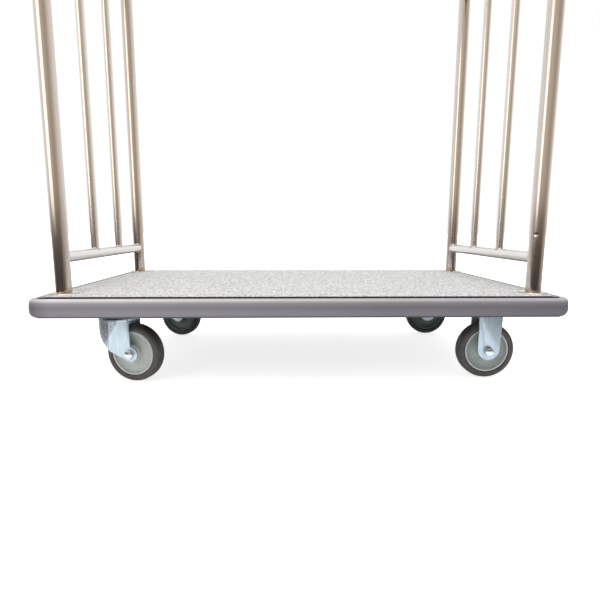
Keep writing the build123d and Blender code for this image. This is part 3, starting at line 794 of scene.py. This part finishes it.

# Soft PVC: satin, with faint lines along it from the extrusion die. Its colour holds painted light
# and shade: a painted highlight under the crest, painted shade along its foot and across the
# middle of its face, and painted light on the front towards the left end.
soft_vinyl, tree, shader = start_material("soft_extruded_vinyl", "#7C7A7E", 0.0, 0.3)
at = cart_axes(tree)
up_strip = add_node(
    tree,
    "ShaderNodeMapRange",
    {"Value": at["Z"], "From Min": bumper_low.z, "From Max": bumper_high.z},
)
painted_light_by_height = add_node(
    tree,
    "ShaderNodeValToRGB",
    {"Fac": up_strip.outputs[0]},
    stops=[
        (0.0, "#2C2B2F"), (0.06, "#47464B"), (0.11, "#78767C"), (0.3, "#7C7A80"),
        (0.42, "#77757C"), (0.53, "#726F76"), (0.64, "#7A777C"), (0.75, "#868388"),
        (0.83, "#9D9A9E"), (0.90, "#ADAAAD"), (0.935, "#A19EA2"), (0.96, "#8E8B90"),
    ],
)
# Each pattern along the strip lightens or darkens it between two values of what it reads. The
# first two are painted light: the front is brighter towards the left end, but not round the corner
# on the end itself. The third is a slow random drift.
lightness = []
for reading, start, end, low, high in [
    (at["X"], -half_length, 0.15, 1.5, 1.04),
    (at["X"], -half_length + 0.018, -half_length + 0.05, 0.68, 1.0),
    (blotches(tree, 0.12, 2.0), 0.3, 0.7, 0.97, 1.03),
]:
    lightness.append(add_node(
        tree,
        "ShaderNodeMapRange",
        {"Value": reading, "From Min": start, "From Max": end, "To Min": low, "To Max": high},
    ).outputs[0])
# Painted light: the front of the strip is brighter towards the left end.
painted_left_end_light = add_node(
    tree, "ShaderNodeMath", {0: lightness[0], 1: lightness[1]}, operation="MULTIPLY"
)
shade = add_node(
    tree, "ShaderNodeMath", {0: painted_left_end_light.outputs[0], 1: lightness[2]}, operation="MULTIPLY"
)
vinyl_tone = add_node(
    tree,
    "ShaderNodeVectorMath",
    {0: painted_light_by_height.outputs["Color"], "Scale": shade.outputs[0]},
    operation="SCALE",
)
tree.links.new(vinyl_tone.outputs[0], shader.inputs["Base Color"])
shader.inputs["Specular IOR Level"].default_value = 0.22
die_lines = blotches(tree, 0.0014, 2.0, (400, 400, 1))
finish(tree, shader, rough=(die_lines, 0.28, 0.4), relief=(die_lines, 0.00006))
bumper.data.materials.append(soft_vinyl)
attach(bumper, "root")
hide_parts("bumper")

# End frames ----------------------------------------------------------------------------------
# A hoop of bent stainless tube at each end, with two cross bars and two balusters coped and
# welded between them. Satin belt polish runs along each tube.


def make_satin_stainless(name, stretch, dark="#CFC7C0", light="#DAD3CD", duller=0.0):
    """Belt-polished 304 tube: warm grey, with grain along the tube, drawn 1.2 mm wide so that it
    shows, and slow smears left by hands and cloths."""
    material, tree, shader = start_material(name, "#D4CDC4", 1.0, 0.16)
    grain = blotches(tree, 0.0012, 4.0, stretch)
    smear = blotches(tree, 0.05, 3.0, tuple(min(s, 3) for s in stretch), seed=3.0)
    tone = add_node(
        tree, "ShaderNodeValToRGB", {"Fac": grain}, stops=[(0.3, dark), (0.7, light)]
    )
    tree.links.new(tone.outputs["Color"], shader.inputs["Base Color"])
    dullness = [
        add_node(
            tree,
            "ShaderNodeMapRange",
            {"Value": pattern, "From Min": 0.3, "From Max": 0.7, "To Min": low, "To Max": high},
        ).outputs[0]
        for pattern, low, high in (
            (grain, 0.13, 0.19), (smear, duller - 0.02, duller + 0.04)
        )
    ]
    spread = add_node(
        tree, "ShaderNodeMath", {0: dullness[0], 1: dullness[1]}, operation="ADD"
    )
    tree.links.new(spread.outputs[0], shader.inputs["Roughness"])
    finish(tree, shader, relief=(grain, 0.000008))
    return material


def stain_and_shade_by_height(material, reading, low, high, stops):
    """Multiplies a tube's colour by colours that change from a low height to a high one."""
    tree = material.node_tree
    base = tree.nodes["Principled BSDF"].inputs["Base Color"]
    up = add_node(
        tree, "ShaderNodeMapRange", {"Value": reading, "From Min": low, "From Max": high}
    )
    stain = add_node(tree, "ShaderNodeValToRGB", {"Fac": up.outputs[0]}, stops=stops)
    stained = add_node(
        tree,
        "ShaderNodeMix",
        {"Factor": 1.0, 6: base.links[0].from_socket, 7: stain.outputs["Color"]},
        data_type="RGBA",
        blend_type="MULTIPLY",
    )
    tree.links.new(stained.outputs[2], base)


upright_stainless = make_satin_stainless("satin_stainless_upright", (1, 1, 80))
tree = upright_stainless.node_tree
# Welding at the foot leaves straw and brown heat tint on the last two centimetres.
wander = add_node(
    tree,
    "ShaderNodeMapRange",
    {
        "Value": blotches(tree, 0.012),
        "From Min": 0.3,
        "From Max": 0.7,
        "To Min": -0.004,
        "To Max": 0.004,
    },
)
tint_height = add_node(
    tree, "ShaderNodeMath", {0: cart_axes(tree)["Z"], 1: wander.outputs[0]}, operation="ADD"
)
stain_and_shade_by_height(
    upright_stainless,
    tint_height.outputs[0],
    low=0.201,
    high=0.213,
    stops=[(0.0, "#D6C8B6"), (0.35, "#ECE2D5"), (0.7, "#F7F2EB"), (1.0, "#FFFFFF")],
)
# A trolley's handle has left a shallow dent in one post, at knee height.
dent_place = (0.4934, -0.2658, 0.322)
dent_radius, dent_depth = 0.0052, 0.0004
from_dent = add_node(
    tree,
    "ShaderNodeVectorMath",
    {0: add_node(tree, "ShaderNodeTexCoord").outputs["Object"], 1: dent_place},
    operation="DISTANCE",
)
in_dent = add_node(
    tree,
    "ShaderNodeMapRange",
    {"Value": from_dent.outputs["Value"], "From Max": dent_radius},
)
normal = tree.nodes["Principled BSDF"].inputs["Normal"]
dent = add_node(
    tree,
    "ShaderNodeBump",
    {
        "Height": in_dent.outputs[0],
        "Distance": dent_depth,
        "Strength": 1.0,
        "Normal": normal.links[0].from_socket,
    },
)
tree.links.new(dent.outputs[0], normal)
paint_nodes(upright_stainless, "swivel_end_hoop", "rigid_end_hoop")
# The balusters are the same tube in paler colours: painted light.
paler_lit_baluster_stainless = make_satin_stainless(
    "satin_stainless_baluster_painted_paler", (1, 1, 80), dark="#DDD6D0", light="#E8E3DE", duller=0.08
)
paint_nodes(paler_lit_baluster_stainless, "swivel_end_baluster_front", "swivel_end_baluster_rear",
            "rigid_end_baluster_front", "rigid_end_baluster_rear")
crosswise_stainless = make_satin_stainless(
    "satin_stainless_crossbar", (1, 80, 1), dark="#E2DFDC", light="#ECEAE8"
)
# The undersides of the lower bars are painted darker: painted shade and painted dark reflection.
stain_and_shade_by_height(
    crosswise_stainless,
    cart_axes(crosswise_stainless.node_tree)["Z"],
    low=0.2607,
    high=0.2680,
    stops=[(0.0, "#6F6865"), (0.5, "#A8A29F"), (1.0, "#FFFFFF")],
)
paint_nodes(crosswise_stainless, "swivel_end_lower_bar", "swivel_end_upper_bar",
            "rigid_end_lower_bar", "rigid_end_upper_bar")
lengthwise_stainless = make_satin_stainless("satin_stainless_rail", (80, 1, 1))
paint_nodes(lengthwise_stainless, "hanging_rail", "rail_sockets")

# Weld beads ----------------------------------------------------------------------------------
# A thin rippled bead of filler runs round every place where a bar meets a post or a baluster
# meets a bar. It is brushed bright, and stays a little duller than the tubes.
post_radius = 0.016
bar_radius = 0.0127
baluster_radius = 0.0095
baluster_y = 0.080
lower_bar_z, upper_bar_z = 0.273, 1.020
bead_radius = 0.0013
bead_ripples, ripple_height = 22, 0.16

bead_steel, tree, shader = start_material("brushed_weld_bead", "#CDC6BD", 1.0, 0.3)
bead_cloud = blotches(tree, 0.002, 3.0)
finish(
    tree,
    shader,
    cloud=(bead_cloud, [(0.3, "#BFB5A8"), (0.7, "#DAD4CC")]),
    rough=(bead_cloud, 0.22, 0.4),
    relief=(bead_cloud, 0.0001),
)


def add_bead(tube_radius, host_radius, centre, turn, push):
    """A bead round a tube's end, bent over the round tube that it is welded to. The tube's end
    faces along push, a unit vector from the host's axis."""
    deselect()
    bpy.ops.mesh.primitive_torus_add(
        major_radius=tube_radius,
        minor_radius=bead_radius,
        major_segments=66,
        minor_segments=8,
        rotation=turn,
    )
    bead = bpy.context.object
    bpy.ops.object.transform_apply(location=True, rotation=True, scale=True)
    push = Vector(push)
    for vertex in bead.data.vertices:
        flat = vertex.co - push * vertex.co.dot(push)
        around = math.atan2(flat.dot(push.cross((1, 0, 0))), flat.x)
        ring = flat.normalized() * tube_radius
        vertex.co = ring + (vertex.co - ring) * (
            1 + ripple_height * math.sin(bead_ripples * around)
        )
        vertex.co += push * math.sqrt(host_radius ** 2 - min(abs(ring.x), host_radius) ** 2)
        vertex.co += Vector(centre)
    return bead


def join_pieces(name, pieces):
    """Joins pieces into one object."""
    deselect()
    for piece in pieces:
        piece.select_set(True)
    bpy.context.view_layer.objects.active = pieces[0]
    bpy.ops.object.join()
    pieces[0].name = name
    return pieces[0]


for end, end_x in (("swivel_end", -post_x), ("rigid_end", post_x)):
    beads = []
    for side in (-1, 1):
        for bar_z in (lower_bar_z, upper_bar_z):
            beads.append(add_bead(bar_radius, post_radius, (end_x, side * post_y, bar_z),
                                  (math.pi / 2, 0, 0), (0, -side, 0)))
            up = 1 if bar_z == lower_bar_z else -1
            beads.append(add_bead(baluster_radius, bar_radius, (end_x, side * baluster_y, bar_z),
                                  (0, 0, 0), (0, 0, up)))
    welds = join_pieces(f"{end}_weld_beads", beads)
    bpy.ops.object.mode_set(mode="EDIT")
    bpy.ops.mesh.select_all(action="SELECT")
    bpy.ops.mesh.normals_make_consistent(inside=False)
    bpy.ops.object.mode_set(mode="OBJECT")
    bpy.ops.object.shade_smooth()
    welds.data.materials.append(bead_steel)
    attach(welds, "root")

# Post flanges --------------------------------------------------------------------------------
# Spun stainless cover rings, brightly polished, that hide the cut in the carpet at each post.
flange_low, flange_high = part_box("post_flanges")
flange_inner, flange_outer = 0.0162, 0.030


def turn_profile(name, profile, steps):
    """Spins a closed profile of (radius, height) points round the Z axis, as on a lathe."""
    deselect()
    bpy.ops.mesh.primitive_circle_add(vertices=len(profile), radius=0.01)
    piece = bpy.context.object
    piece.name = name
    for vertex, (radius, height) in zip(piece.data.vertices, profile):
        vertex.co = (radius, 0, height)
    bpy.ops.object.mode_set(mode="EDIT")
    bpy.ops.mesh.select_all(action="SELECT")
    bpy.ops.mesh.spin(steps=steps, angle=math.radians(360), center=(0, 0, 0), axis=(0, 0, 1))
    bpy.ops.mesh.select_all(action="SELECT")
    bpy.ops.mesh.remove_doubles(threshold=0.000005)
    bpy.ops.mesh.normals_make_consistent(inside=False)
    bpy.ops.object.mode_set(mode="OBJECT")
    bpy.ops.object.shade_smooth_by_angle(angle=math.radians(32))
    return piece


def place_copy(source, name, place):
    """A copy of a modelled piece, with its own mesh moved to its place."""
    copy = bpy.data.objects.new(name, source.data.copy())
    bpy.context.scene.collection.objects.link(copy)
    copy.data.transform(place)
    return copy


polished_stainless, tree, shader = start_material("polished_stainless", "#C9C3BC", 1.0, 0.12)
buff = blotches(tree, 0.003, 3.0)
finish(
    tree, shader, cloud=(buff, [(0.3, "#B9B2AA"), (0.7, "#CFC9C2")]), rough=(buff, 0.08, 0.18)
)

flange_rise = flange_high.z - flange_low.z
flange_section = [
    (flange_inner, 0.0), (flange_outer - 0.0002, 0.0), (flange_outer, 0.0003),
    (flange_outer, 0.0007), (flange_outer - 0.0004, 0.0011), (0.0272, 0.0017), (0.0240, 0.0023),
    (0.0205, 0.0028), (0.0178, flange_rise), (0.0168, flange_rise), (flange_inner, 0.0028),
]
flange = turn_profile("flange", flange_section, 72)
flanges = join_pieces(
    "post_flange_rings",
    [
        place_copy(flange, "ring", Matrix.Translation((x, y, flange_low.z)))
        for x, y in post_places
    ],
)
bpy.data.objects.remove(flange)
flanges.data.materials.append(polished_stainless)
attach(flanges, "root")
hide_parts("post_flanges")

# Wheels --------------------------------------------------------------------------------------
# A soft grey tyre moulded round a light grey polypropylene core with a dished web, a proud rim
# ring and a hub that holds a nylon bearing.
half_tyre = 0.016
half_rim = 0.014
half_hub = 0.020
tyre_outer, rim_outer, bore = 0.0635, 0.049, 0.012
shoulder_start, shoulder_reach, shoulder_rise = 0.0545, 0.0088, 0.0090
rim_ring_inner, rim_ring_level = 0.0452, 0.0136

# Both sections are listed as (radius, height from the wheel's middle).
tyre_side = [(0.0492, 0.0131), (0.0498, 0.0142), (0.0510, 0.0151), (0.0528, 0.0157),
             (shoulder_start, half_tyre)]
for step in range(1, 9):
    turn = math.radians(90 * step / 8)
    tyre_side.append((
        shoulder_start + shoulder_reach * math.sin(turn),
        half_tyre - shoulder_rise * (1 - math.cos(turn)),
    ))
tyre_side += [(tyre_outer - 0.0001, 0.0035)]
tyre_half = tyre_side + [(tyre_outer, 0.0008), (tyre_outer - 0.0003, 0.0)]
tyre_section = (
    [(rim_outer, 0.0120)]
    + tyre_half
    + [(radius, -height) for radius, height in reversed(tyre_half[:-1])]
    + [(rim_outer, -0.0120)]
)
core_side = [
    (bore, 0.0196), (bore + 0.0004, half_hub), (0.0186, half_hub), (0.0197, 0.0193),
    (0.0200, 0.0182), (0.0203, 0.0122), (0.0212, 0.0088), (0.0232, 0.0066), (0.0262, 0.0056),
    (0.0310, 0.0054), (0.0360, 0.0061), (0.0402, 0.0076), (0.0430, 0.0098), (0.0443, 0.0120),
    (0.0448, 0.0134), (0.0454, half_rim), (0.0482, half_rim), (0.0488, 0.0134),
    (rim_outer, 0.0126),
]
core_section = core_side + [(radius, -height) for radius, height in reversed(core_side)]


def make_rubber(name, dark, middle, light):
    """Thermoplastic rubber: matt, with a bloom of dust, scuffed where it rolls."""
    material, tree, shader = start_material(name, middle, 0.0, 0.55)
    scuff = blotches(tree, 0.0011, 3.0)
    finish(
        tree,
        shader,
        cloud=(blotches(tree, 0.012, 4.0), [(0.3, dark), (0.55, middle), (0.8, light)]),
        rough=(scuff, 0.46, 0.62),
        relief=(scuff, 0.00008),
    )
    return material


def make_core_plastic(name, dark, light):
    """Moulded polypropylene: smooth and slightly waxy, faintly clouded by how it flowed."""
    material, tree, shader = start_material(name, light, 0.0, 0.38)
    grain = blotches(tree, 0.0008, 2.0)
    finish(
        tree,
        shader,
        cloud=(blotches(tree, 0.018, 3.0), [(0.3, dark), (0.7, light)]),
        rough=(grain, 0.32, 0.46),
        relief=(grain, 0.00003),
    )
    return material


# The rear wheels' tyres and cores are darker copies of the front ones: painted shade under the
# deck. The rigid front core is a little darker than the swivel front core.
rubber = make_rubber("grey_thermoplastic_rubber", "#444140", "#4E4B49", "#5C5855")
rear_rubber_painted_shade = make_rubber("thermoplastic_rubber_painted_shade", "#292A2A", "#2E2F2F", "#373837")
swivel_front_core_plastic = make_core_plastic("grey_moulded_polypropylene", "#B1B8B3", "#C0C6C0")
rigid_front_core_plastic = make_core_plastic("rigid_front_moulded_polypropylene", "#98A09E", "#A7AFAC")
rear_core_painted_shade = make_core_plastic("moulded_polypropylene_painted_shade", "#4E5959", "#5E6968")
# The rim ring's face is painted paler than the web.
paler_rim_face, tree, shader = start_material("paler_polypropylene_rim", "#C6CAC7", 0.0, 0.45)
finish(tree, shader, cloud=(blotches(tree, 0.003, 4.0), [(0.3, "#B2B7B4"), (0.7, "#D2D5D2")]))
# Nylon bearing sleeve: white, slightly translucent.
nylon, tree, shader = start_material("white_nylon", "#D9D6CC", 0.0, 0.45)
finish(tree, shader, cloud=(blotches(tree, 0.004), [(0.3, "#D2CFC5"), (0.7, "#E0DDD4")]))

wheel_finishes = {
    "swivel_wheel_front": {"tyre": [rubber], "core": [swivel_front_core_plastic, paler_rim_face]},
    "rigid_wheel_front": {"tyre": [rubber], "core": [rigid_front_core_plastic, paler_rim_face]},
    "swivel_wheel_rear": {"tyre": [rear_rubber_painted_shade], "core": [rear_core_painted_shade, rear_core_painted_shade]},
    "rigid_wheel_rear": {"tyre": [rear_rubber_painted_shade], "core": [rear_core_painted_shade, rear_core_painted_shade]},
}

tyre = turn_profile("tyre", tyre_section, 96)
core = turn_profile("core", core_section, 96)
tyre.data.materials.append(rubber)
core.data.materials.append(swivel_front_core_plastic)
core.data.materials.append(paler_rim_face)
for face in core.data.polygons:
    outside = math.hypot(face.center.x, face.center.y) > rim_ring_inner
    if outside and abs(face.center.z) > rim_ring_level:
        face.material_index = 1
joints = {joint["name"]: joint for joint in frame["joints"]}
onto_axle = Matrix.Rotation(math.radians(-90), 4, "X")
for kind in ("swivel", "rigid"):
    for side in ("front", "rear"):
        joint = joints[f"{kind}_wheel_spin_{side}"]
        axis = Vector(joint["axis"])
        caster_turn = math.atan2(-axis.x, axis.y)
        place = (
            Matrix.Translation(joint["pos_m"]) @ Matrix.Rotation(caster_turn, 4, "Z") @ onto_axle
        )
        wheel = f"{kind}_wheel_{side}"
        for part, source, slot_name in (
            ("tyre", tyre, "tyre_rubber"), ("core", core, "wheel_core")
        ):
            piece = place_copy(source, f"{wheel}_{part}_turned", place)
            for index, wheel_material in enumerate(wheel_finishes[wheel][part]):
                piece.data.materials[index] = wheel_material
            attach(piece, wheel)
            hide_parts(f"{wheel}_{part}")
        paint_nodes(nylon, f"{wheel}_bearing")
for source in (tyre, core):
    bpy.data.objects.remove(source)

# Caster pressings ----------------------------------------------------------------------------
# Forks, rigid brackets and top plates, pressed and drawn from zinc-plated sheet steel. Their
# sheared edges are slightly rounded.


def refine_node(node, name, width):
    """A copy of a CAD node with its triangles joined into whole faces and its edges rounded."""
    piece = bpy.data.objects.new(name, frame["nodes"][node].data.copy())
    bpy.context.scene.collection.objects.link(piece)
    deselect()
    piece.select_set(True)
    bpy.context.view_layer.objects.active = piece
    bpy.ops.mesh.customdata_custom_splitnormals_clear()
    bpy.ops.object.mode_set(mode="EDIT")
    bpy.ops.mesh.select_all(action="SELECT")
    bpy.ops.mesh.remove_doubles(threshold=0.00001)
    bpy.ops.mesh.dissolve_limited(angle_limit=math.radians(0.8))
    bpy.ops.object.mode_set(mode="OBJECT")
    rounding = piece.modifiers.new("rounded_edges", "BEVEL")
    rounding.width = width
    rounding.segments = 2
    rounding.limit_method = "ANGLE"
    rounding.angle_limit = math.radians(35)
    bpy.ops.object.modifier_apply(modifier="rounded_edges")
    bpy.ops.object.shade_smooth_by_angle(angle=math.radians(40))
    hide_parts(node)
    return piece


def make_zinc(name, dark, middle, light):
    """Bright zinc over pressed sheet: pale blue-grey, clouded, with streaks down it from the
    plating bath."""
    material, tree, shader = start_material(name, middle, 0.75, 0.36)
    fine = blotches(tree, 0.0012, 3.0)
    finish(
        tree,
        shader,
        cloud=(
            blotches(tree, 0.004, 4.0, (1, 1, 5)), [(0.3, dark), (0.55, middle), (0.8, light)]
        ),
        rough=(fine, 0.3, 0.42),
        relief=(fine, 0.00004),
    )
    return material


sheet_zinc = make_zinc("bright_zinc_sheet", "#AFC2CE", "#BDCEDA", "#CDDBE4")
# The fork's back, where it wraps round the wheel, is painted darker and mottled: painted shade.
# The darker part reaches far along the cheeks at the top and little lower down.
fork_zinc = make_zinc("bright_zinc_fork_painted_shade", "#B9CBD7", "#C5D5DF", "#D4E1E8")
tree = fork_zinc.node_tree
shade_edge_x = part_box("swivel_fork_front")[0].x + 0.017
shade_edge_z, shade_edge_slope = 0.080, 0.69
shade_fade_low, shade_fade_high = 0.001, 0.004
past_shade_edge = add_node(
    tree,
    "ShaderNodeVectorMath",
    {0: add_node(tree, "ShaderNodeTexCoord").outputs["Object"], 1: (-1, 0, shade_edge_slope)},
    operation="DOT_PRODUCT",
)
on_shade_edge = shade_edge_slope * shade_edge_z - shade_edge_x
painted_shade_amount = add_node(
    tree,
    "ShaderNodeMapRange",
    {
        "Value": past_shade_edge.outputs["Value"],
        "From Min": on_shade_edge - shade_fade_low,
        "From Max": on_shade_edge + shade_fade_high,
        "To Max": 0.9,
    },
)
mottle = add_node(
    tree,
    "ShaderNodeValToRGB",
    {"Fac": blotches(tree, 0.0022, 5.0, (2, 1, 1))},
    stops=[(0.3, "#6F7883"), (0.5, "#98A3AD"), (0.7, "#CFDAE1")],
)
fork_base = tree.nodes["Principled BSDF"].inputs["Base Color"]
# Painted shade: the darker mottle over the fork's curved back.
drawn = add_node(
    tree,
    "ShaderNodeMix",
    {
        "Factor": painted_shade_amount.outputs[0],
        6: fork_base.links[0].from_socket,
        7: mottle.outputs["Color"],
    },
    data_type="RGBA",
)
tree.links.new(drawn.outputs[2], fork_base)


def finish_steel(piece, material, body):
    """Gives a refined steel piece its material, body and slot."""
    piece.data.materials.clear()
    piece.data.materials.append(material)
    for face in piece.data.polygons:
        face.material_index = 0
    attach(piece, body)


for side in ("front", "rear"):
    for part, width, material, body in (
        ("rigid_bracket", 0.0007, sheet_zinc, "root"),
        ("swivel_plate", 0.0006, sheet_zinc, "root"),
        ("swivel_fork", 0.0008, fork_zinc, f"swivel_{side}"),
    ):
        piece = refine_node(f"{part}_{side}", f"{part}_{side}_pressed", width)
        finish_steel(piece, material, body)

# Bolts and nuts ------------------------------------------------------------------------------
# Zinc-plated bolts, nuts, washers and kingpins that show, with chamfered edges, and the rings of
# hard steel balls between the top plates and the forks.
for side in ("front", "rear"):
    paint_nodes(plated_steel, f"swivel_balls_{side}")
    for part in ("bolt", "nut"):
        node = f"swivel_axle_{part}_{side}"
        piece = refine_node(node, f"{node}_hex", 0.0008)
        finish_steel(piece, plated_steel, f"swivel_{side}")
for node, width in (
    ("kingpins", 0.0008), ("kingpin_washers", 0.0004), ("post_bolts", 0.0006),
    ("post_washers", 0.0003), ("rail_screws", 0.0005), ("caster_bolts", 0.0006),
    ("rigid_axle_bolts", 0.0008), ("rigid_axle_nuts", 0.0008),
):
    piece = refine_node(node, f"{node}_plated", width)
    finish_steel(piece, plated_steel, "root")
